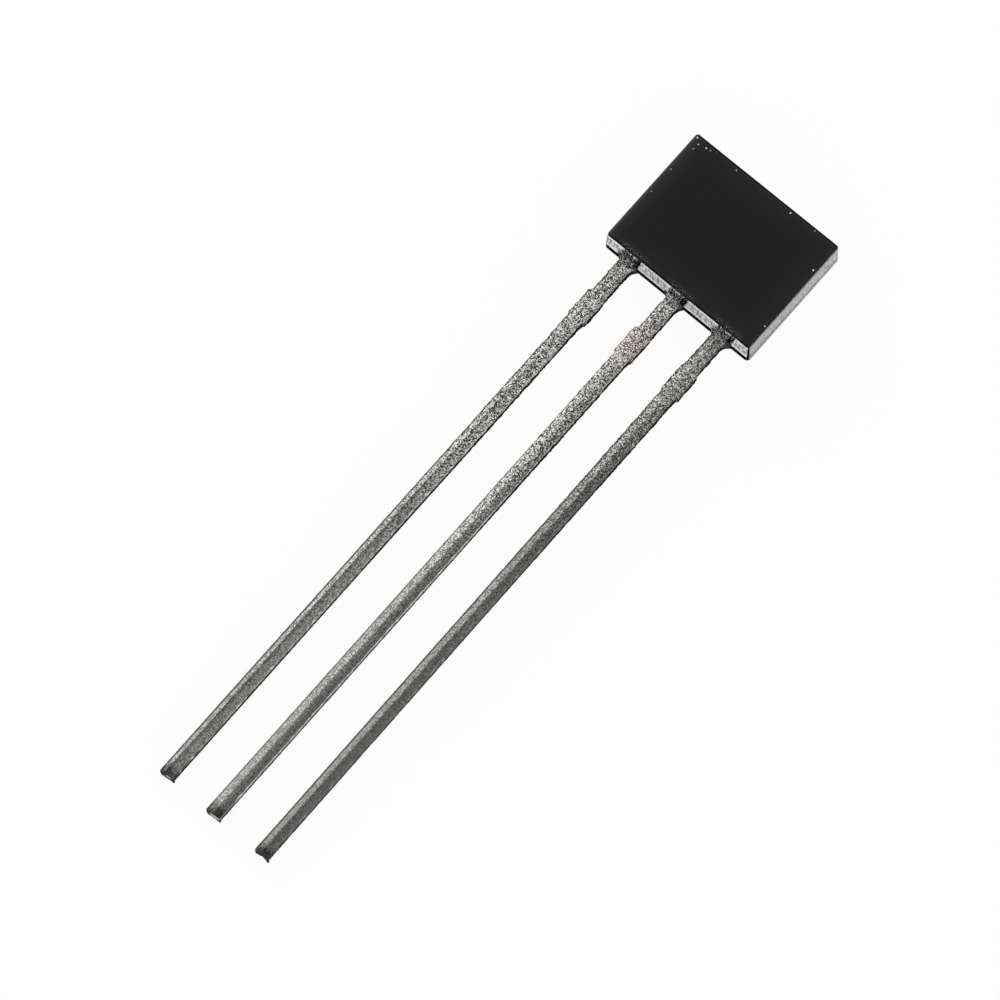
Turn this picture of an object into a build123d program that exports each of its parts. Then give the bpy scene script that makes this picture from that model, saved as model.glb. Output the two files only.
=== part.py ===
from build123d import *
from math import hypot, radians, tan
import os

# A three-lead Hall effect sensor in a flat single in-line moulded package.
#
# Millimetres and degrees. +Z points out of the wide back face and the leads run
# along -Y. The origin is the middle of the narrow front face, the face that
# looks at the magnet, so that face is Z = 0 and the field is sensed along Z.

# ---- Moulded body ----
body_width = 3.92          # across X at the parting line
body_length = 2.99         # along Y at the parting line
back_depth = 0.60          # back face to parting line
land_depth = 0.18          # upright band below the parting line
taper_depth = 0.74         # narrowing part below that band, down to the front face
back_draft = 3.0           # all four walls of the back half
flank_angle = 45.0         # long flanks of the front half, from upright
end_angle = 15.0           # lead end and top end of the front half, from upright
body_corner_radius = 0.10  # upright corners
back_rim_radius = 0.03
front_rim_radius = 0.05
ejector_diameter = 0.95    # ejector pin mark in the front face
ejector_depth = 0.05
ejector_inset = 0.24       # its rim to the nearest edges of the front face
gate_width = 0.60          # broken-off gate on the top end
gate_height = 0.22
gate_stub = 0.03           # what the break leaves standing
gate_inset = 0.62          # gate to the side of the body

# ---- Lead frame ----
lead_pitch = 1.27
frame_shift = -0.065       # middle of the body to the middle of the lead frame, along X
lead_width = 0.34
lead_thickness = 0.38
lead_length = 14.53        # outside the body
lead_setback = 0.42        # back face of the body to back face of the leads
lead_roll_radius = 0.06    # edges rolled over by the stamping punch
lead_die_chamfer = 0.02    # edges dulled on the die side
dambar_start = 0.97        # body to trimmed dambar
dambar_length = 0.75
dambar_stub = 0.04         # what the trim leaves on each side of a lead
dambar_slope = 35.0        # ends of a trimmed stub
post_width = 0.70          # embedded end of a lead
post_length = 0.80         # from the wall inwards
shoulder_inset = 0.02      # wall to the shoulders of a post
shoulder_radius = 0.15
frame_corner_radius = 0.12
lock_hole_diameter = 0.26  # the moulding compound fills it and holds the lead
lock_hole_inset = 0.30     # wall to the middle of the hole
neck_width = 0.46          # between the ground lead's post and the paddle
frame_gap = 0.17           # posts to paddle
paddle_width = 1.50
paddle_length = 1.20
tie_bar_width = 0.36
tie_bar_stub = 0.03        # left standing on the top end when the strip is cut

# ---- Chip, its adhesive and its wires ----
adhesive_thickness = 0.02
adhesive_margin = 0.04     # squeezed out past each side of the chip
chip_width = 0.90
chip_length = 0.90
chip_thickness = 0.20
saw_step_width = 0.03      # left round the chip's face by the dicing saw
saw_step_depth = 0.05
pad_inset = 0.13           # chip side to the middle of a bond pad
bond_inset = 0.15          # post end to the middle of a wire's foot
wire_diameter = 0.032
wire_loop = 0.15           # height of the loop over the chip
wire_loop_corner = 0.04    # cut off the turn at the top of the loop
wire_loop_drop = 0.05      # how far the loop has come down where it turns to its foot
wire_foot_run = 0.22       # level distance from that turn to the foot
ball_diameter = 0.085
ball_height = 0.022
foot_length = 0.11
foot_width = 0.065
foot_thickness = 0.012

# ---- Levels and edges that several pieces share ----
taper_top_z = taper_depth
parting_z = taper_top_z + land_depth
back_z = parting_z + back_depth
lead_back_z = back_z - lead_setback
lead_front_z = lead_back_z - lead_thickness
chip_seat_z = lead_front_z - adhesive_thickness
chip_step_z = chip_seat_z - chip_thickness + saw_step_depth
chip_face_z = chip_step_z - saw_step_depth

front_width = body_width - 2 * taper_depth * tan(radians(flank_angle))
front_length = body_length - 2 * taper_depth * tan(radians(end_angle))

wall_y = -body_length / 2
top_y = body_length / 2
tip_y = wall_y - lead_length
post_end_y = wall_y + post_length
paddle_low_y = post_end_y + frame_gap
paddle_high_y = paddle_low_y + paddle_length
chip_y = (paddle_low_y + paddle_high_y) / 2
bond_y = post_end_y - bond_inset
pad_y = chip_y - chip_length / 2 + pad_inset
pad_x = chip_width / 2 - pad_inset

ground_x = frame_shift
supply_x = ground_x + lead_pitch
output_x = ground_x - lead_pitch

os.makedirs("parts", exist_ok=True)


# ---- Shapes that the leads share, drawn in the open sketch ----
def blade(x):
    """The outer run of a lead, from its tip to inside its shoulders."""
    length = wall_y + shoulder_inset + shoulder_radius - tip_y
    with Locations((x, tip_y + length / 2)):
        Rectangle(lead_width, length)


def dambar_stubs(x):
    """What the trimmed dambar leaves standing on both sides of a lead."""
    middle_y = wall_y - dambar_start - dambar_length / 2
    for side in (-1, 1):
        with Locations((x + side * lead_width / 2, middle_y)):
            Trapezoid(
                dambar_length,
                dambar_stub,
                dambar_slope,
                rotation=-90 * side,
                align=(Align.CENTER, Align.MIN),
            )


def post(x):
    """The wide embedded end of a lead."""
    length = post_length - shoulder_inset
    with Locations((x, post_end_y - length / 2)):
        Rectangle(post_width, length)


def blend_shoulders(sketch, x):
    """Round the inner corners where a lead widens into its post."""
    inner_corners = sketch.vertices().filter_by_position(
        Axis.X, x - lead_width / 2, x + lead_width / 2
    ).group_by(Axis.Y)[-1]
    fillet(inner_corners, radius=shoulder_radius)


def lock_hole(x):
    """The hole that the moulding compound fills."""
    with Locations((x, wall_y + lock_hole_inset)):
        Circle(lock_hole_diameter / 2, mode=Mode.SUBTRACT)


def signal_lead(sketch, x):
    """A lead that ends in a post of its own."""
    blade(x)
    dambar_stubs(x)
    post(x)
    blend_shoulders(sketch, x)
    fillet(sketch.vertices().group_by(Axis.Y)[-1], radius=frame_corner_radius)
    lock_hole(x)


def outer_edges(part, level_z):
    """The edges at one level of a lead, as far as the body's wall."""
    edges = part.edges().filter_by_position(Axis.Z, level_z, level_z)
    return edges.filter_by_position(Axis.Y, tip_y, wall_y, inclusive=(True, False))


def ease_edges(part):
    """Stamped edges: rolled over on the punch side, only dulled on the die side."""
    fillet(outer_edges(part, lead_back_z), radius=lead_roll_radius)
    chamfer(outer_edges(part, lead_front_z), length=lead_die_chamfer)


# ---- Output lead ----
with BuildPart() as lead_output:
    with BuildSketch(Plane.XY.offset(lead_front_z)) as output_outline:
        signal_lead(output_outline, output_x)
    extrude(amount=lead_thickness)
    ease_edges(lead_output)

# ---- Supply lead ----
with BuildPart() as lead_supply:
    with BuildSketch(Plane.XY.offset(lead_front_z)) as supply_outline:
        signal_lead(supply_outline, supply_x)
    extrude(amount=lead_thickness)
    ease_edges(lead_supply)

# ---- Ground lead: the same stamping carries the die paddle and the tie bar ----
with BuildPart() as lead_ground:
    with BuildSketch(Plane.XY.offset(lead_front_z)) as ground_outline:
        blade(ground_x)
        dambar_stubs(ground_x)
        post(ground_x)
        blend_shoulders(ground_outline, ground_x)
        with Locations((ground_x, (post_end_y + paddle_low_y) / 2)):
            Rectangle(neck_width, frame_gap)
        with Locations((ground_x, chip_y)):
            RectangleRounded(paddle_width, paddle_length, frame_corner_radius)
        tie_bar_length = top_y + tie_bar_stub - paddle_high_y
        with Locations((ground_x, paddle_high_y + tie_bar_length / 2)):
            Rectangle(tie_bar_width, tie_bar_length)
        lock_hole(ground_x)
    extrude(amount=lead_thickness)
    ease_edges(lead_ground)

# ---- Adhesive, squeezed out a little round the chip ----
with BuildPart() as die_attach:
    with BuildSketch(Plane.XY.offset(lead_front_z)):
        with Locations((ground_x, chip_y)):
            Rectangle(chip_width + 2 * adhesive_margin, chip_length + 2 * adhesive_margin)
    with BuildSketch(Plane.XY.offset(chip_seat_z)):
        with Locations((ground_x, chip_y)):
            Rectangle(chip_width, chip_length)
    loft()

# ---- Hall chip, face towards the front of the body ----
with BuildPart() as hall_chip:
    with BuildSketch(Plane.XY.offset(chip_step_z)):
        with Locations((ground_x, chip_y)):
            Rectangle(chip_width, chip_length)
    extrude(amount=chip_thickness - saw_step_depth)
    with BuildSketch(Plane.XY.offset(chip_face_z)):
        with Locations((ground_x, chip_y)):
            Rectangle(chip_width - 2 * saw_step_width, chip_length - 2 * saw_step_width)
    extrude(amount=saw_step_depth)


# ---- Bond wires: a ball on the chip, a low loop, and a flattened foot on the lead ----
def bond_wire(pad_x, foot_x):
    """A gold wire from a pad on the chip to the post of a lead."""
    span = hypot(foot_x - pad_x, bond_y - pad_y)
    travel = Vector(foot_x - pad_x, bond_y - pad_y, 0) / span
    pad = (pad_x, pad_y, chip_face_z)
    foot = (foot_x, bond_y, lead_front_z)
    loop_plane = Plane(origin=pad, x_dir=travel, z_dir=travel.cross(Vector(0, 0, 1)))
    pad_plane = Plane(origin=pad, x_dir=travel, z_dir=(0, 0, -1))
    foot_plane = Plane(origin=foot, x_dir=travel, z_dir=(0, 0, -1))
    with BuildPart() as wire:
        with BuildLine(loop_plane) as loop:
            Polyline(
                (0, 0),
                (0, wire_loop_corner - wire_loop),
                (wire_loop_corner, -wire_loop),
                (span - wire_foot_run, wire_loop_drop - wire_loop),
                (span, lead_front_z - chip_face_z),
            )
        with BuildSketch(pad_plane):
            Circle(wire_diameter / 2)
        sweep(path=loop.line, transition=Transition.RIGHT)
        with BuildSketch(pad_plane):
            Circle(ball_diameter / 2)
        extrude(amount=ball_height)
        with BuildSketch(foot_plane):
            Ellipse(foot_length / 2, foot_width / 2)
        extrude(amount=foot_thickness)
        split(bisect_by=Plane.XY.offset(lead_front_z), keep=Keep.BOTTOM)
    return wire


bond_wire_supply = bond_wire(ground_x + pad_x, supply_x)
bond_wire_ground = bond_wire(ground_x, ground_x)
bond_wire_output = bond_wire(ground_x - pad_x, output_x)

# ---- Moulded body, cast round everything above ----
with BuildPart() as moulded_body:
    with BuildSketch(Plane.XY.offset(parting_z)) as parting_outline:
        RectangleRounded(body_width, body_length, body_corner_radius)
    extrude(amount=back_depth, taper=back_draft)
    extrude(parting_outline.sketch, amount=-land_depth)
    with BuildSketch(Plane.XY.offset(taper_top_z)):
        RectangleRounded(body_width, body_length, body_corner_radius)
    with BuildSketch(Plane.XY):
        RectangleRounded(front_width, front_length, body_corner_radius)
    loft(ruled=True)
    fillet(moulded_body.faces().sort_by(Axis.Z)[-1].edges(), radius=back_rim_radius)
    fillet(moulded_body.faces().sort_by(Axis.Z)[0].edges(), radius=front_rim_radius)

    ejector_reach = ejector_inset + ejector_diameter / 2
    with BuildSketch(Plane.XY):
        with Locations((ejector_reach - front_width / 2, front_length / 2 - ejector_reach)):
            Circle(ejector_diameter / 2)
    extrude(amount=ejector_depth, mode=Mode.SUBTRACT)

    with BuildSketch(Plane.XZ.offset(-top_y)):
        with Locations((body_width / 2 - gate_inset - gate_width / 2, parting_z)):
            Rectangle(gate_width, gate_height)
    extrude(amount=gate_stub, both=True)

    for embedded in (lead_output, lead_supply, lead_ground, die_attach, hall_chip):
        add(embedded.part, mode=Mode.SUBTRACT)
    for wire in (bond_wire_supply, bond_wire_ground, bond_wire_output):
        add(wire.part, mode=Mode.SUBTRACT)

# ---- Names and files ----
moulded_body.part.label = "moulded_body"
lead_supply.part.label = "lead_supply"
lead_ground.part.label = "lead_ground"
lead_output.part.label = "lead_output"
hall_chip.part.label = "hall_chip"
die_attach.part.label = "die_attach"
bond_wire_supply.part.label = "bond_wire_supply"
bond_wire_ground.part.label = "bond_wire_ground"
bond_wire_output.part.label = "bond_wire_output"

export_step(moulded_body.part, "parts/moulded_body.step")
export_step(lead_supply.part, "parts/lead_supply.step")
export_step(lead_ground.part, "parts/lead_ground.step")
export_step(lead_output.part, "parts/lead_output.step")
export_step(hall_chip.part, "parts/hall_chip.step")
export_step(die_attach.part, "parts/die_attach.step")
export_step(bond_wire_supply.part, "parts/bond_wire_supply.step")
export_step(bond_wire_ground.part, "parts/bond_wire_ground.step")
export_step(bond_wire_output.part, "parts/bond_wire_output.step")
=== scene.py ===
"""Looks of a three-lead Hall effect sensor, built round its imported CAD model.

The frame is in metres. +Z points out of the wide back face, the leads run along -Y, and the
narrow front face is Z = 0. The material nodes and the tinned leads work in millimetres of the
same frame, so places and sizes are in millimetres unless they are written times MM.
"""

from math import atan2, cos, radians, sin

import bmesh
import bpy
import numpy as np
from mathutils import Matrix, Vector, noise


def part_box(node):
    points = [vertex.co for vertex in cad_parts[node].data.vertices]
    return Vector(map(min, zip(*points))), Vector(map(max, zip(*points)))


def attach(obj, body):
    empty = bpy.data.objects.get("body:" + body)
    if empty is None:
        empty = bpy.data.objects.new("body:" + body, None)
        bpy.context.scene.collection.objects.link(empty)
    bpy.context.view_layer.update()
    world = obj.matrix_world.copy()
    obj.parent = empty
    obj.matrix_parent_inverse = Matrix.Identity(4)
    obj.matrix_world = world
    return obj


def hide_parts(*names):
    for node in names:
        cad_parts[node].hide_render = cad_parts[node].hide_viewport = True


MM = 0.001             # metres in a millimetre
NODE_SCALE = 1000.0    # millimetres in a metre

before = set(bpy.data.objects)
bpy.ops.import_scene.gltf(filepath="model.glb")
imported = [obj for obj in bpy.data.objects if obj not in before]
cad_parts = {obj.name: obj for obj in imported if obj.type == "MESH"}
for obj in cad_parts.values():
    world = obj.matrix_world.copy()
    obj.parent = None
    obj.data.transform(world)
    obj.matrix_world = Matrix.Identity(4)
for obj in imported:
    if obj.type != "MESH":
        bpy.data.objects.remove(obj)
bpy.context.view_layer.update()

# ---- Places that come from the frame ----
LEADS = ("output", "ground", "supply")
body_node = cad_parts["moulded_body"]
body_low, body_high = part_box("moulded_body")
lead_low, lead_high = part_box("lead_ground")
lead_boxes = {name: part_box("lead_" + name) for name in LEADS}
LEAD_X = {name: (low.x + high.x) / 2 / MM for name, (low, high) in lead_boxes.items()}
SIDE = body_high.x / MM           # the body's +X side
WALL = body_low.y / MM            # its lead side
BACK = body_high.z / MM           # its wide face
TIP = lead_low.y / MM             # the leads' tips
TIP_OUT = WALL - TIP              # the same, from the wall
LEAD_TOP = lead_high.z / MM
LEAD_BOTTOM = lead_low.z / MM

# ---- Sizes that the frame's boxes don't give ----
LEAD_WIDTH = 0.34
HALF_LEAD = LEAD_WIDTH / 2
LAND_LOW = 0.74        # upright band of the body, under the parting line
LAND_HIGH = 0.92
DRAFT = 0.03           # how far the walls lean in, from the land up to the wide face
STUB_START = 0.97      # trimmed dambar, from the wall
STUB_END = 1.72

# ---- Camera ----
CAMERA_AZIMUTH = radians(40.617)   # from straight down the leads, towards +X
CAMERA_ELEVATION = radians(73.994)
CAMERA_DISTANCE = 126.75 * MM
CAMERA_AIM = Vector((-0.137, -6.961, 0.068)) * MM
CAMERA_LENS = 219.7
CAMERA_SENSOR = 36


def make_camera():
    """A long lens that looks down on the wide face from the lead side."""
    data = bpy.data.cameras.new("camera")
    data.lens = CAMERA_LENS
    data.sensor_width = CAMERA_SENSOR
    data.clip_start = 1 * MM
    data.clip_end = 10000 * MM
    camera = bpy.data.objects.new("camera", data)
    level = cos(CAMERA_ELEVATION)
    back = Vector(
        (sin(CAMERA_AZIMUTH) * level, -cos(CAMERA_AZIMUTH) * level, sin(CAMERA_ELEVATION))
    )
    camera.location = CAMERA_AIM + back * CAMERA_DISTANCE
    camera.rotation_mode = "QUATERNION"
    camera.rotation_quaternion = (-back).to_track_quat("-Z", "Y")
    bpy.context.scene.collection.objects.link(camera)
    bpy.context.scene.camera = camera


# ---- A short way to write node trees ----
class Tree:
    """Wraps a node tree. Its methods add a node and give back the node's output socket."""

    def __init__(self, tree):
        self.tree = tree
        tree.nodes.clear()

    def node(self, kind, settings=None, **inputs):
        made = self.tree.nodes.new("ShaderNode" + kind)
        for name, value in (settings or {}).items():
            setattr(made, name, value)
        for name, value in inputs.items():
            self.feed(made.inputs[name.replace("_", " ")], value)
        return made

    def feed(self, socket, value):
        if isinstance(value, bpy.types.NodeSocket):
            self.tree.links.new(value, socket)
        else:
            socket.default_value = value

    def math(self, operation, *values):
        made = self.node("Math", {"operation": operation})
        for socket, value in zip(made.inputs, values):
            self.feed(socket, value)
        return made.outputs[0]

    def mul(self, a, b):
        return self.math("MULTIPLY", a, b)

    def add(self, a, b):
        return self.math("ADD", a, b)

    def sub(self, a, b):
        return self.math("SUBTRACT", a, b)

    def larger(self, a, b):
        return self.math("MAXIMUM", a, b)

    def smaller(self, a, b):
        return self.math("MINIMUM", a, b)

    def absolute(self, value):
        return self.math("ABSOLUTE", value)

    def rest(self, share):
        """What a share leaves of 1."""
        return self.sub(1.0, share)

    def blend(self, a, b, share):
        """The value a where share is 0, b where it is 1."""
        return self.add(self.mul(a, self.rest(share)), self.mul(b, share))

    def over(self, value, low, high, to_low=0.0, to_high=1.0):
        """A smooth step of value from low to high, given as to_low to to_high."""
        made = self.node("MapRange", {"interpolation_type": "SMOOTHSTEP"})
        self.feed(made.inputs["Value"], value)
        self.feed(made.inputs["From Min"], low)
        self.feed(made.inputs["From Max"], high)
        self.feed(made.inputs["To Min"], to_low)
        self.feed(made.inputs["To Max"], to_high)
        return made.outputs["Result"]

    def band(self, value, rise, fall):
        """1 between two soft edges of value, each given as where it is 0, then where it is 1."""
        return self.mul(self.over(value, *rise), self.over(value, *fall))

    def noise(self, vector, scale, detail=2.0, roughness=0.5):
        made = self.node("TexNoise", Vector=vector, Scale=scale, Detail=detail, Roughness=roughness)
        return made.outputs["Fac"]

    def colour(self, factor, a, b):
        """The colour a where factor is 0, b where it is 1."""
        made = self.node("Mix", {"data_type": "RGBA"})
        self.feed(made.inputs[0], factor)
        self.feed(made.inputs[6], a)
        self.feed(made.inputs[7], b)
        return made.outputs[2]

    def tinted(self, a, b):
        """Two colours multiplied."""
        made = self.node("Mix", {"data_type": "RGBA", "blend_type": "MULTIPLY"})
        made.inputs[0].default_value = 1.0
        self.feed(made.inputs[6], a)
        self.feed(made.inputs[7], b)
        return made.outputs[2]

    def shaders(self, factor, a, b):
        """The shader a where factor is 0, b where it is 1."""
        made = self.node("MixShader", Fac=factor)
        self.feed(made.inputs[1], a)
        self.feed(made.inputs[2], b)
        return made.outputs[0]

    def ramp(self, factor, stops):
        """Greys at the given places of factor, with straight runs between them."""
        made = self.node("ValToRGB", Fac=factor)
        elements = made.color_ramp.elements
        while len(elements) < len(stops):
            elements.new(0.5)
        for element, (place, level) in zip(elements, stops):
            element.position = place
            element.color = (level, level, level, 1)
        return made.outputs["Color"]

    def spot(self, vector, centre, radius):
        """1 inside a small round spot of a plane, 0 outside it."""
        made = self.node("VectorMath", {"operation": "DISTANCE"})
        self.feed(made.inputs[0], vector)
        made.inputs[1].default_value = centre
        return self.over(made.outputs["Value"], radius * 1.2, radius * 0.6)

    def grey(self, value):
        made = self.node("CombineColor")
        for name in ("Red", "Green", "Blue"):
            self.feed(made.inputs[name], value)
        return made.outputs[0]

    def place(self):
        """Place in the frame, in millimetres."""
        scaled = self.node("VectorMath", {"operation": "SCALE"})
        self.feed(scaled.inputs[0], self.node("TexCoord").outputs["Object"])
        scaled.inputs["Scale"].default_value = NODE_SCALE
        return scaled.outputs[0]

    def stretched(self, vector, scale):
        made = self.node("VectorMath", {"operation": "MULTIPLY"})
        self.feed(made.inputs[0], vector)
        made.inputs[1].default_value = scale
        return made.outputs[0]

    def split(self, vector):
        """The X, Y and Z of a vector."""
        made = self.node("SeparateXYZ")
        self.feed(made.inputs[0], vector)
        return made.outputs

    def normal(self):
        return self.node("TexCoord").outputs["Normal"]

    def bump(self, height, strength, distance):
        made = self.node("Bump", Height=height)
        self.feed(made.inputs["Strength"], strength)
        made.inputs["Distance"].default_value = distance
        return made.outputs[0]

    def finish(self, shader):
        self.node("OutputMaterial", Surface=shader)


def new_material(name):
    material = bpy.data.materials.new(name)
    material.use_nodes = True
    return material, Tree(material.node_tree)


# ---- Moulding compound ----
# White dust and scuffs on the wide face: X, Y and how strong each is.
FLECKS = (
    (-1.86, 1.38, 1.0),
    (-1.75, 1.28, 0.6),
    (-1.57, 1.32, 1.0),
    (-1.77, 1.14, 0.3),
    (-1.47, 1.34, 0.3),
    (-1.83, 0.49, 0.3),
    (-1.83, -0.15, 0.25),
    (-0.78, 1.36, 0.4),
    (0.68, 1.37, 0.9),
    (1.31, 1.40, 0.3),
    (1.84, 0.72, 1.0),
    (1.86, -0.87, 0.6),
)
FLECK_RADIUS = 0.018
FLECK_GREY = 0.85

# The painted walls. A pair is a soft edge: where a zone is still 0, then where it is 1.
RIGHT_WALL = (SIDE - 0.0585, SIDE - 0.0525)    # the +X wall, which starts at its rounded rim
RIM_LOW = 1.490                                # top of the lead wall, under the rounded rim
RIM_LINE = 0.100                               # depth of the painted highlight line under the rim
SHADE_TOP = LAND_HIGH + 0.040                  # where the land's painted shade ends
SHADE_LINE = 0.112                             # depth of the painted highlight line over it
HIGHLIGHT_SOFT = 0.012                              # how softly both lines end
PATCH_LEFT = (-0.19, -0.18)                    # painted shade patch at a root, from the lead's middle
PATCH_RIGHT = (0.30, 0.29)
DEEP_SHADE_LEFT = (0.17, 0.20)                     # its blackest painted shade, up to PATCH_RIGHT
PATCH_LEAN = 0.20                              # its lean to +X, for each mm up
PATCH_RAG = 0.12                               # how ragged its edges are
MOTTLE_MIDDLE = 0.10                           # mottled wide face over a root, from the lead
MOTTLE_EDGE = (0.45, 0.25)                     # and where it ends, to both sides of that


def root_shade_patches(t, x, z, wall_speck):
    """The painted shade patches over the lead roots, their blackest parts, and the wide face over
    them.
    """
    patches = 0.0
    deep_shades = 0.0
    over_roots = 0.0
    for name in LEADS:
        beside = t.sub(x, LEAD_X[name])
        leaning = t.sub(beside, t.mul(t.sub(z, LEAD_TOP), PATCH_LEAN))
        ragged = t.add(leaning, t.mul(t.sub(wall_speck, 0.5), PATCH_RAG))
        patches = t.larger(patches, t.band(ragged, PATCH_LEFT, PATCH_RIGHT))
        deep_shades = t.larger(deep_shades, t.band(ragged, DEEP_SHADE_LEFT, PATCH_RIGHT))
        over_root = t.over(t.absolute(t.sub(beside, MOTTLE_MIDDLE)), *MOTTLE_EDGE)
        over_roots = t.larger(over_roots, over_root)
    return patches, deep_shades, over_roots


def wide_face_tone(t, place, from_edge, from_left, over_roots, speck):
    """Quiet black, paler towards the edges and most of all the -X one, with a few flecks."""
    _, y, z = t.split(place)
    cloud = t.noise(place, 1.6, detail=3.0, roughness=0.6)
    haze = t.mul(t.over(from_edge, 0.6, 0.0), t.over(cloud, 0.30, 0.65, 0.5, 1.0))
    wide_haze = t.mul(t.over(from_left, 0.35, 0.0), 0.010)
    narrow_haze = t.mul(t.over(from_left, 0.08, 0.01), 0.028)
    from_lead_end = t.sub(y, WALL + DRAFT)
    root_zone = t.mul(over_roots, t.over(from_lead_end, 0.20, 0.01, 0.0, 4.5))
    mottled = t.larger(t.over(from_edge, 0.14, 0.03, 0.0, 0.8), root_zone)
    scuffs = t.mul(mottled, t.over(speck, 0.58, 0.66))
    on_back = t.over(z, BACK - 0.05, BACK - 0.03)
    marks = t.mul(on_back, t.add(t.add(wide_haze, narrow_haze), t.mul(scuffs, 0.060)))
    tone = t.add(t.add(0.0082, t.mul(haze, 0.0045)), marks)

    flat_place = t.stretched(place, (1.0, 1.0, 0.0))
    for fleck_x, fleck_y, strength in FLECKS:
        fleck = t.mul(t.spot(flat_place, (fleck_x, fleck_y, 0), FLECK_RADIUS), on_back)
        tone = t.add(tone, t.mul(fleck, FLECK_GREY * strength))
    return tone


def painted_highlight_lines(t, z, lead_wall, wall_speck):
    """Painted highlight lines on the lead side, just over its dark land and just under its rim."""
    line_low = (SHADE_TOP, SHADE_TOP + 0.004)
    line_high = (SHADE_TOP + SHADE_LINE, SHADE_TOP + SHADE_LINE - HIGHLIGHT_SOFT)
    over_land = t.band(z, line_low, line_high)
    under_rim = t.over(z, RIM_LOW - RIM_LINE, RIM_LOW - RIM_LINE + HIGHLIGHT_SOFT)
    highlight_lines = t.mul(t.larger(over_land, under_rim), lead_wall)
    return t.mul(highlight_lines, t.over(wall_speck, 0.40, 0.46, 0.30, 1.0))


def wall_sheen_and_shade(t, grains, wall_speck, other_wall, highlight_lines, shaded, deep_shades):
    """Painted reflection grey that follows the mould's grain, with the painted highlight lines
    and the painted shade patches at the roots.
    """
    # The walls' grey, and the quiet grey of the other walls, is painted reflection set by the
    # grain.
    grain_and_painted_sheen = t.add(0.08, t.mul(grains, 0.52))
    quiet = t.add(0.16, t.mul(grains, 0.12))
    tone = t.blend(t.blend(grain_and_painted_sheen, quiet, other_wall), 0.95, highlight_lines)
    # A painted shade patch, with the lead's painted reflection in it, black in its deepest part.
    patch = t.over(wall_speck, 0.52, 0.60, 0.004, t.add(0.36, t.mul(highlight_lines, 0.55)))
    deep_shade = t.mul(deep_shades, t.over(wall_speck, 0.66, 0.60, 0.0, 0.95))
    return t.blend(tone, t.mul(patch, t.rest(deep_shade)), shaded)


def dark_lines(t, z, nx, ny, lead_wall, right_side):
    """Dark lines on the upright corners, the parting line and the lead side's land, which is
    painted shade.
    """
    corner = t.mul(t.over(t.absolute(nx), 0.40, 0.55), t.over(t.absolute(ny), 0.40, 0.55))
    soft = 0.003
    # The lead side's land is painted black: painted shade under the parting line.
    on_land = t.band(z, (LAND_LOW - 0.02, LAND_LOW), (SHADE_TOP + soft, SHADE_TOP - soft))
    line_low = (SHADE_TOP - 0.028, SHADE_TOP - 0.018)
    line_high = (SHADE_TOP + 0.022, SHADE_TOP + 0.012)
    parting = t.larger(t.mul(t.band(z, line_low, line_high), 0.8), t.mul(on_land, 0.30))
    lines = t.larger(t.mul(on_land, lead_wall), t.mul(right_side, parting))
    return t.larger(corner, lines)


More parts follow.
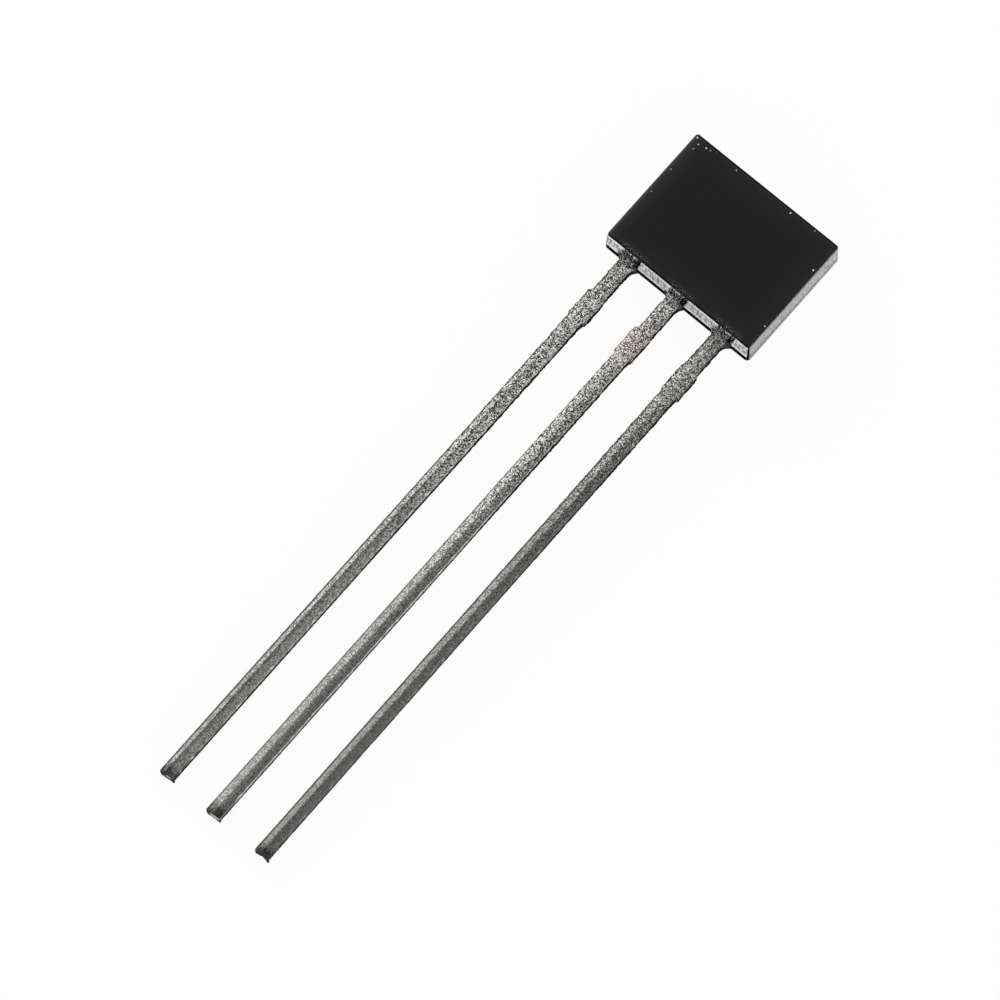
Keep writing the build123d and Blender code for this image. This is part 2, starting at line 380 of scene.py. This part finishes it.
def compound_material():
    """Matte black epoxy: a quiet wide face, glossy drawn walls with a fine grain and a grey of
    painted reflection, painted highlight lines on the lead wall, and painted shade at the roots.
    """
    material, t = new_material("moulding_compound_black")
    place = t.place()
    x, y, z = t.split(place)
    nx, ny, nz = t.split(t.normal())
    level = t.absolute(nz)

    # Where the walls are: the lead side up to its rim, the +X side and the others.
    lead_side = t.over(ny, -0.20, -0.45)
    right_side = t.over(x, *RIGHT_WALL)
    below_rim = t.over(z, RIM_LOW + 0.005, RIM_LOW - 0.005)
    lead_wall = t.mul(t.mul(lead_side, t.rest(right_side)), below_rim)
    other_wall = t.larger(right_side, t.mul(t.over(level, 0.55, 0.40), t.rest(lead_side)))
    back_half = t.over(z, LAND_LOW - 0.006, LAND_LOW)
    wall = t.mul(t.larger(lead_wall, other_wall), back_half)

    # How far in from the wide face's edges, and from its -X edge alone.
    from_side = t.sub(SIDE - DRAFT, t.absolute(x))
    from_end = t.sub(-WALL - DRAFT, t.absolute(y))
    from_edge = t.smaller(from_side, from_end)
    from_left = t.add(x, SIDE - DRAFT)

    # The walls' grain is drawn out along Z, the way the mould came off.
    drawn = t.stretched(place, (1.0, 1.0, 0.22))
    grain = t.noise(drawn, 30.0, detail=1.0, roughness=0.8)
    grains = t.over(grain, 0.42, 0.58)
    wall_speck = t.noise(drawn, 44.0, detail=1.0, roughness=0.9)
    speck = t.noise(place, 46.0, detail=1.0, roughness=0.9)

    patches, deep_shades, over_roots = root_shade_patches(t, x, z, wall_speck)
    shaded = t.mul(t.mul(patches, lead_wall), back_half)
    highlight_lines = painted_highlight_lines(t, z, lead_wall, wall_speck)
    tone = t.blend(
        wide_face_tone(t, place, from_edge, from_left, over_roots, speck),
        wall_sheen_and_shade(t, grains, wall_speck, other_wall, highlight_lines, shaded, deep_shades),
        wall,
    )

    # Dark lines, the far rims among them. They, the painted shade patches and the painted highlight
    # lines are dull.
    dark_line = dark_lines(t, z, nx, ny, lead_wall, right_side)
    far_rim = t.mul(t.over(level, 0.50, 0.62), t.over(from_left, 0.04, 0.08))
    far_rim = t.mul(t.over(from_edge, 0.050, 0.038), far_rim)
    tone = t.mul(tone, t.rest(t.mul(t.larger(dark_line, t.mul(far_rim, 0.6)), 0.98)))
    dulled = t.larger(dark_line, t.mul(far_rim, 0.7))
    dulled = t.larger(dulled, t.mul(t.larger(shaded, highlight_lines), wall))

    height = t.add(t.mul(grain, 0.6), t.mul(speck, 0.4))
    glossy = t.node(
        "BsdfPrincipled",
        Base_Color=t.grey(tone),
        Roughness=t.over(wall, 0.0, 1.0, 0.62, 0.40),
        Coat_Weight=t.mul(wall, t.add(0.38, t.mul(grains, 0.60))),
        Normal=t.bump(height, 0.30, 0.003 * MM),
    )
    glossy.inputs["IOR"].default_value = 1.5
    glossy.inputs["Specular IOR Level"].default_value = 0.12
    glossy.inputs["Coat Roughness"].default_value = 0.14
    glossy.inputs["Coat IOR"].default_value = 1.8
    dull = t.node("BsdfDiffuse", Color=t.grey(tone))
    t.finish(t.shaders(dulled, glossy.outputs[0], dull.outputs[0]))
    return material


# ---- Shape of the tinned leads ----
VOXEL = 0.019                     # mesh of the tinned leads
LUMPS = (0.11, 0.05)              # sizes of the lumps of tin
LUMP_HEIGHT = 0.004               # their height near the tips
LUMP_RISE = 0.012                 # what is added to it near the body
RESIN_REACH = 0.28                # how far along the lead the resin of its root, painted black as resin and shade, shows
STUB_CUT = 0.10                   # how much earlier the +X stubs end
SPURS = ((STUB_START + 0.05, 0.008), (STUB_END - 0.11, 0.034))    # where, how far to +X
LEFT_SPUR = 0.018                 # how far the same ones reach to -X
SPUR_HALF = 0.032                 # half of their width
BURR_OUTLINE = ((-0.025, -0.02, 0), (0.03, -0.02, 0), (0.03, 0.02, 0), (-0.025, 0.02, 0))

# bends are four places to +X of the CAD lead: above the dambar, at it, below it and at the
# tip. flare is how far the resin at the root reaches on the +X side; it is painted black, as
# resin and as painted shade in the corner. undercut is how far the foot of that side is set back
# towards the tip. cut is how much the end cut takes off at the -X edge, in the middle and at the
# +X edge, and burr is where the sliver at its lower corner points.
SHAPES = {
    "output": dict(
        bends=(0.036, 0.017, 0.003, 0.018),
        flare=0.05,
        undercut=0.017,
        cut=(0.0, 0.01, 0.03),
        burr=(0.035, -0.025, -0.20),
    ),
    "ground": dict(
        bends=(0.032, 0.005, 0.002, 0.0),
        flare=0.03,
        undercut=0.003,
        cut=(0.0, 0.005, 0.02),
        burr=(0.05, -0.01, -0.15),
    ),
    "supply": dict(
        bends=(-0.001, 0.004, -0.001, 0.031),
        flare=0.07,
        undercut=0.018,
        cut=(0.01, 0.05, 0.03),
        burr=(0.035, -0.015, -0.15),
    ),
}


def lump(point, size):
    return noise.noise(point / size)


def smooth(value, low, high):
    """A smooth step from 0 at low to 1 at high."""
    share = np.clip((value - low) / (high - low), 0.0, 1.0)
    return share * share * (3 - 2 * share)


def fine_copy(name):
    """The CAD lead in a mesh of even small faces, in millimetres."""
    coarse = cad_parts["lead_" + name].data.copy()
    coarse.transform(Matrix.Scale(NODE_SCALE, 4))
    draft = bpy.data.objects.new("draft", coarse)
    bpy.context.scene.collection.objects.link(draft)
    weld = draft.modifiers.new("weld", "WELD")
    weld.merge_threshold = 0.0005
    remesh = draft.modifiers.new("remesh", "REMESH")
    remesh.mode = "VOXEL"
    remesh.voxel_size = VOXEL
    remesh.use_smooth_shade = True
    settled = draft.evaluated_get(bpy.context.evaluated_depsgraph_get())
    fine = bpy.data.meshes.new_from_object(settled)
    bpy.data.objects.remove(draft)
    bpy.data.meshes.remove(coarse)
    return fine


def rows_of(vectors, attribute):
    """One row of three numbers for each vector."""
    numbers = np.empty(len(vectors) * 3)
    vectors.foreach_get(attribute, numbers)
    return numbers.reshape(-1, 3)


def bend_shift(out, bends):
    """How far the lead lies off true, at each distance out from the wall."""
    above, beside, below, end = bends
    shift = above + (beside - above) * smooth(out, STUB_START - 0.01, STUB_START + 0.03)
    shift += (below - beside) * smooth(out, STUB_END - 0.03, STUB_END + 0.01)
    shift += (end - below) * np.clip((out - STUB_END) / (TIP_OUT - STUB_END), 0.0, 1.0)
    return shift * smooth(out, 0.0, 0.02)


def side_shift(out, side, height, flare, undercut):
    """Resin, painted black as resin and shade, widens the +X side at the root, and its foot is set
    back towards the tip.
    """
    to_side = smooth(side, 0.0, HALF_LEAD)
    resin = (1 - smooth(out, 0.0, RESIN_REACH)) ** 2 * smooth(out, -0.01, 0.01)
    foot = smooth(height, LEAD_TOP - 0.12, LEAD_BOTTOM + 0.03) * smooth(out, 1.5, 10.0)
    return to_side * (flare * resin - undercut * foot)


def stub_shift(out, side, height):
    """Spurs that the dambar's trim left on the stubs, and +X stubs that end earlier."""
    cut_back = smooth(out, STUB_END - STUB_CUT, STUB_END - STUB_CUT + 0.025)
    cut_back = cut_back * (side > HALF_LEAD) * (out < STUB_END + 0.03)
    shift = -(side - HALF_LEAD) * cut_back
    upper = 1 - smooth(abs(height - LEAD_TOP + 0.16), 0.0, 0.16)
    for place, reach in SPURS:
        near = (1 - smooth(abs(out - place), 0.0, SPUR_HALF)) * (abs(side) > HALF_LEAD)
        shift += np.where(side > 0, reach, -LEFT_SPUR) * near * upper
    return shift


def add_burr(mesh, root, reach):
    """A blunt sliver that the end cut pushed out of the lower corner."""
    bm = bmesh.new()
    bm.from_mesh(mesh)
    corners = [Vector(corner) for corner in BURR_OUTLINE]
    base = [bm.verts.new(root + corner) for corner in corners]
    cap = [bm.verts.new(root + reach + corner * 0.55) for corner in corners]
    for one, two, three, four in zip(base, base[1:] + base[:1], cap[1:] + cap[:1], cap):
        bm.faces.new((one, two, three, four)).smooth = True
    bm.faces.new(cap)
    bm.faces.new(list(reversed(base)))
    bmesh.ops.recalc_face_normals(bm, faces=bm.faces)
    bm.to_mesh(mesh)
    bm.free()


def tinned_lead(name, material, bends, flare, undercut, cut, burr):
    """The CAD lead with its lumpy tin, the spurs of the dambar's trim and a ragged end cut."""
    mesh = fine_copy(name)
    middle = LEAD_X[name]
    places = rows_of(mesh.vertices, "co")
    facing = rows_of(mesh.vertex_normals, "vector")
    out = WALL - places[:, 1]
    side = places[:, 0] - middle
    height = places[:, 2]

    # Each lead takes its lumps from a place of its own in the noise.
    seed = Vector((middle * 3.1, 0, 5.0))
    points = [Vector(place) + seed for place in places]
    rough = np.array([sum(lump(point, size) for size in LUMPS) for point in points])
    tall = LUMP_HEIGHT + LUMP_RISE * (1 - smooth(out, 2.5, 7.0))
    tall = tall * (1 - 0.6 * abs(facing[:, 2])) * smooth(out, 0.0, 0.08)
    moved = places + facing * (tall * rough)[:, None]
    moved[:, 0] += bend_shift(out, bends)
    moved[:, 0] += side_shift(out, side, height, flare, undercut)
    moved[:, 0] += stub_shift(out, side, height)

    # The end cut: not quite square, and torn.
    at_end = smooth(places[:, 1] - TIP, 0.25, 0.0)
    taken = np.interp(side / HALF_LEAD, (-1.0, 0.0, 1.0), cut) + 0.010 * abs(rough)
    moved[:, 1] = np.maximum(moved[:, 1] + taken * at_end, TIP)
    mesh.vertices.foreach_set("co", moved.ravel())
    corner_x = middle + bends[3] + HALF_LEAD
    root = Vector((corner_x - 0.035, TIP + cut[2] + 0.025, LEAD_BOTTOM + 0.04))
    add_burr(mesh, root, Vector(burr))

    mesh.transform(Matrix.Scale(MM, 4))
    mesh.materials.clear()
    mesh.materials.append(material)
    lead = bpy.data.objects.new("tinned_lead_" + name, mesh)
    bpy.context.scene.collection.objects.link(lead)
    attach(lead, "root")
    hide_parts("lead_" + name)


# ---- Tin ----
# stripes are greys across the lead, from -X to +X, that paint its light and shade, and even is
# the grey that they fade to near the body, where dim is how much darker the lead is. left_edge is
# the grey of the -X rolled edge. gleam is the grey of the painted highlight on the +X one,
# gleam_start how far over it starts, and gleam_low the height under which its side is painted
# black shade near the tip. grit is how strong the speckle is, and reach how far from the wall its
# strong part ends. torn is where across the lead the pale strip of the cut end lies, and torn_grey
# its grey. blush is how strong the reddish stain round the trimmed dambar is.
TIN = {
    "output": dict(
        stripes=(
            (0.10, 0.42), (0.26, 0.52), (0.34, 0.52), (0.42, 0.13),
            (0.54, 0.165), (0.66, 0.225), (0.90, 0.25), (1.0, 0.27),
        ),
        even=0.27,
        dim=0.17,
        left_edge=0.08,
        gleam=0.42,
        gleam_start=0.55,
        gleam_low=1.01,
        grit=1.10,
        reach=8.5,
        torn=(0.45, 0.9),
        torn_grey=0.35,
        blush=0.0,
    ),
    "ground": dict(
        stripes=(
            (0.05, 0.46), (0.30, 0.47), (0.41, 0.52), (0.46, 0.42),
            (0.55, 0.18), (0.64, 0.175), (0.90, 0.135), (1.0, 0.14),
        ),
        even=0.28,
        dim=0.10,
        left_edge=0.18,
        gleam=0.50,
        gleam_start=0.86,
        gleam_low=0.90,
        grit=1.00,
        reach=8.5,
        torn=(0.25, 1.0),
        torn_grey=0.5,
        blush=1.0,
    ),
    "supply": dict(
        stripes=(
            (0.08, 0.33), (0.20, 0.41), (0.46, 0.40), (0.53, 0.19),
            (0.59, 0.122), (0.70, 0.13), (0.90, 0.148), (1.0, 0.165),
        ),
        even=0.32,
        dim=0.26,
        left_edge=0.08,
        gleam=0.13,
        gleam_start=0.70,
        gleam_low=0.99,
        grit=0.82,
        reach=6.8,
        torn=(-0.3, 0.2),
        torn_grey=0.5,
        blush=0.0,
    ),
}
TIN_COLOURS = ((0.985, 1.0, 0.935, 1.0), (1.0, 0.985, 0.95, 1.0))
STAIN_COLOUR = (1.05, 0.98, 0.925, 1.0)
PALEST = 0.93
LEFT_SIDE_GREY = 0.10        # the sheared -X side
BLACK_GREY = 0.018           # painted shade on the lower part of the +X one, and the resin with painted shade at the root


def striped_tone(t, across, out, patches, near_body, stripes, even):
    """The stripes of painted light and shade, which waver near the body and fade to an even grey
    there.
    """
    waver = t.mul(t.sub(patches, 0.5), t.add(0.06, t.mul(near_body, 0.22)))
    striped = t.ramp(t.add(across, waver), stripes)
    return t.blend(even, striped, t.over(out, 1.2, 3.6, 0.35, 1.0))


def edge_gleam(t, out, breaks, gleam):
    """The painted highlight of the +X rolled edge, broken, fainter near the tip."""
    gleaming = t.mul(gleam, t.over(breaks, 0.38, 0.54, 0.40, 1.0))
    return t.mul(gleaming, t.over(out, TIP_OUT - 0.60, TIP_OUT - 0.45, 1.0, 0.35))


def speckled_tone(t, tone, fine, breaks, out, near_body, grit, dim):
    """Speckle and shade, both stronger near the body, and a broken dark tip."""
    speckle = t.over(fine, 0.41, 0.60, -1.25, 1.0)
    depth = t.over(out, 7.0, 13.0, 0.54 * grit, 0.36 * grit)
    depth = t.add(depth, t.mul(near_body, 0.74 * grit))
    tone = t.mul(tone, t.math("POWER", 3.0, t.mul(speckle, depth)))
    tone = t.mul(tone, t.over(out, 3.5, 8.5, 1.0 - dim, 1.0))
    near_tip = t.over(out, TIP_OUT - 0.34, TIP_OUT - 0.10)
    return t.mul(tone, t.rest(t.mul(near_tip, t.over(breaks, 0.62, 0.50, 0.25, 0.75))))


def bright_specks(t, place, out, near_body, right_roll, gleam):
    """Pale dots near the body, and painted glints along the +X edge."""
    dots = t.over(t.noise(place, 27.0, detail=1.0), 0.64, 0.67)
    dots = t.mul(t.mul(near_body, t.over(out, 0.4, 1.0)), dots)
    sparks = t.noise(t.stretched(place, (1.0, 0.6, 1.0)), 11.0, detail=1.0)
    glints = t.mul(right_roll, t.over(sparks, 0.63, 0.67, 0.0, 1.6 * gleam))
    return t.larger(t.mul(dots, 0.6), glints)


def black_parts(t, across, out, z, nx, gleam_low):
    """Painted black shade on the lower part of the sheared +X side, and the resin on the root with
    painted shade in its corner.
    """
    low = t.over(out, 7.5, 5.0, gleam_low, 0.99)
    shaded_low_side = t.mul(t.over(nx, 0.70, 0.85), t.over(z, t.add(low, 0.02), t.sub(low, 0.02)))
    resin = t.mul(t.over(out, 0.16, 0.02), t.over(across, 0.98, 1.06))
    return t.larger(shaded_low_side, resin)


def cut_end_tone(t, z, across, fine, torn, torn_grey):
    """Dark, with a pale torn strip across part of it."""
    start, stop = torn
    ragged = t.add(z, t.mul(t.sub(fine, 0.5), 0.06))
    strip_low = (LEAD_BOTTOM + 0.14, LEAD_BOTTOM + 0.18)
    strip_high = (LEAD_TOP - 0.04, LEAD_TOP - 0.07)
    strip = t.band(ragged, strip_low, strip_high)
    strip = t.mul(strip, t.band(across, (start, start + 0.15), (stop, stop - 0.10)))
    return t.add(0.045, t.mul(strip, torn_grey))


def tin_material(
    name, stripes, even, dim, left_edge, gleam, gleam_start, gleam_low, grit, reach, torn,
    torn_grey, blush,
):
    """Dull tin over a stamped lead: a pale stripe of painted highlight beside a darker one of
    painted shade, speckled near the body.
    """
    material, t = new_material("tin_" + name)
    place = t.place()
    x, y, z = t.split(place)
    nx, ny, _ = t.split(t.normal())
    across = t.math("DIVIDE", t.sub(x, LEAD_X[name] - HALF_LEAD), LEAD_WIDTH)
    out = t.sub(WALL, y)

    fine = t.noise(place, 36.0, detail=1.0, roughness=0.9)
    breaks = t.noise(t.stretched(place, (1.0, 0.5, 1.0)), 16.0, detail=2.0, roughness=0.6)
    patches = t.noise(t.stretched(place, (1.0, 0.25, 1.0)), 3.0)
    near_body = t.over(out, reach, reach - 5.0)
    left_roll = t.over(nx, 0.0, -0.42)
    left_side = t.over(nx, -0.82, -0.93)
    right_roll = t.over(nx, gleam_start, gleam_start + 0.12)
    black = black_parts(t, across, out, z, nx, gleam_low)
    end = t.over(ny, -0.5, -0.8)

    # The stripes are painted light and shade.
    tone = striped_tone(t, across, out, patches, near_body, stripes, even)
    tone = t.blend(tone, left_edge, left_roll)
    # Painted highlight along the +X rolled edge.
    tone = t.blend(tone, edge_gleam(t, out, breaks, gleam), right_roll)
    tone = speckled_tone(t, tone, fine, breaks, out, near_body, grit, dim)
    tone = t.add(tone, bright_specks(t, place, out, near_body, right_roll, gleam))
    tone = t.smaller(tone, PALEST)
    tone = t.blend(tone, LEFT_SIDE_GREY, left_side)
    # Painted black shade on the lower +X side, and the root's resin with painted shade.
    tone = t.blend(tone, BLACK_GREY, black)
    tone = t.blend(tone, cut_end_tone(t, z, across, fine, torn, torn_grey), end)

    tint = t.colour(t.over(patches, 0.4, 0.65), *TIN_COLOURS)
    stained = t.mul(t.over(out, 0.7, 1.1), t.over(out, 2.4, 1.8, 0.0, blush))
    tint = t.colour(stained, tint, STAIN_COLOUR)
    shader = t.node(
        "BsdfPrincipled",
        Base_Color=t.tinted(t.grey(tone), tint),
        Roughness=t.over(fine, 0.3, 0.7, 0.36, 0.56),
        Metallic=t.mul(0.85, t.rest(t.larger(black, end))),
        Normal=t.bump(fine, t.over(out, 7.0, 1.5, 0.15, 0.6), 0.004 * MM),
    )
    shader.inputs["Specular IOR Level"].default_value = 0.0
    t.finish(shader.outputs[0])
    return material


# ---- Pieces sealed inside ----
def inner_material(name, dark, pale, scale, roughness, metallic):
    """A procedural finish for a piece that the moulding hides."""
    material, t = new_material(name)
    mottle = t.noise(t.place(), scale, detail=3.0, roughness=0.6)
    shader = t.node(
        "BsdfPrincipled",
        Base_Color=t.colour(mottle, dark, pale),
        Roughness=t.over(mottle, 0.2, 0.8, roughness - 0.05, roughness + 0.05),
        Normal=t.bump(mottle, 0.3, 0.002 * MM),
    )
    shader.inputs["Metallic"].default_value = metallic
    t.finish(shader.outputs[0])
    return material


def dress(node_name, material):
    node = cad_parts[node_name]
    for slot in node.material_slots:
        slot.material = material


# ---- Floor, world and lamps ----
FLOOR_HALF = 3000.0 * MM
FLOOR_DROP = 0.004 * MM      # keeps the part just clear of the floor
FLOOR_SEEN = 0.94            # share of plain white that the camera sees
FLOOR_MIRRORED = 0.72        # and that the part reflects
TENT_WALL = radians(35)      # up to here the light tent is brightest
TENT_TOP = radians(65)       # and from here up it is half as bright


def make_floor():
    """The part rests on the lead-side edge of its front face and on the lead tips."""
    points = [v.co for v in body_node.data.vertices]
    edge_y = min(p.y for p in points if p.z < body_low.z + 0.001 * MM)
    slope = atan2(lead_low.z - body_low.z, edge_y - lead_low.y)
    mesh = bpy.data.meshes.new("floor")
    ends = (-FLOOR_HALF, FLOOR_HALF)
    corners = [(x, y, 0) for y in ends for x in ends]
    mesh.from_pydata(corners, [], [(0, 1, 3, 2)])
    floor = bpy.data.objects.new("floor", mesh)
    touching = Matrix.Translation((0, edge_y, body_low.z - FLOOR_DROP))
    floor.matrix_world = touching @ Matrix.Rotation(-slope, 4, "X")
    bpy.context.scene.collection.objects.link(floor)

    material, t = new_material("pale_floor")
    mottle = t.noise(t.place(), 0.2)
    plain = t.node("BsdfDiffuse", Color=t.grey(t.over(mottle, 0.2, 0.8, 0.88, 0.90)))
    white = t.node("Emission", Color=(1, 1, 1, 1), Strength=1.0)
    path = t.node("LightPath").outputs
    seen = t.mul(path["Is Camera Ray"], FLOOR_SEEN)
    seen = t.larger(seen, t.mul(path["Is Glossy Ray"], FLOOR_MIRRORED))
    above = t.shaders(seen, plain.outputs[0], white.outputs[0])
    below = t.node("BsdfTransparent").outputs[0]
    t.finish(t.shaders(t.node("NewGeometry").outputs["Backfacing"], above, below))
    mesh.materials.append(material)


def make_world():
    """Bright low down all round, greyer overhead, like a light tent with an open top."""
    world = bpy.data.worlds.new("light_tent")
    bpy.context.scene.world = world
    world.use_nodes = True
    t = Tree(world.node_tree)
    up = t.split(t.node("TexCoord").outputs["Generated"])["Z"]
    level = t.over(up, sin(TENT_WALL), sin(TENT_TOP), 1.0, 0.5)
    sky = t.node("Background", Color=t.grey(level), Strength=1.0)
    t.node("OutputWorld", Surface=sky.outputs[0])


def make_lamp(name, place, size, power):
    """A square soft box at place, aimed at the body. It is in metres and watts."""
    data = bpy.data.lights.new(name, "AREA")
    data.energy = power
    data.size = size
    lamp = bpy.data.objects.new(name, data)
    lamp.location = place
    lamp.rotation_mode = "QUATERNION"
    lamp.rotation_quaternion = (-Vector(place)).to_track_quat("-Z", "Y")
    bpy.context.scene.collection.objects.link(lamp)


make_camera()
make_floor()
make_world()
make_lamp("key_lamp", place=(-0.25, 0.10, 0.22), size=0.20, power=0.35)
make_lamp("fill_lamp", place=(0.22, -0.20, 0.20), size=0.20, power=0.15)

dress("moulded_body", compound_material())
for lead_name in LEADS:
    tin = tin_material(lead_name, **TIN[lead_name])
    tinned_lead(lead_name, tin, **SHAPES[lead_name])
silicon = inner_material("silicon", (0.10, 0.11, 0.14, 1), (0.20, 0.21, 0.25, 1), 30, 0.25, 0.3)
silver = inner_material("silver_epoxy", (0.45, 0.45, 0.43, 1), (0.62, 0.62, 0.6, 1), 60, 0.5, 0.6)
gold = inner_material("gold", (0.80, 0.55, 0.18, 1), (0.88, 0.66, 0.27, 1), 80, 0.25, 1.0)
dress("hall_chip", silicon)
dress("die_attach", silver)
for wire in LEADS:
    dress("bond_wire_" + wire, gold)

bpy.context.view_layer.update()

bpy.context.scene.view_settings.view_transform = "Standard"
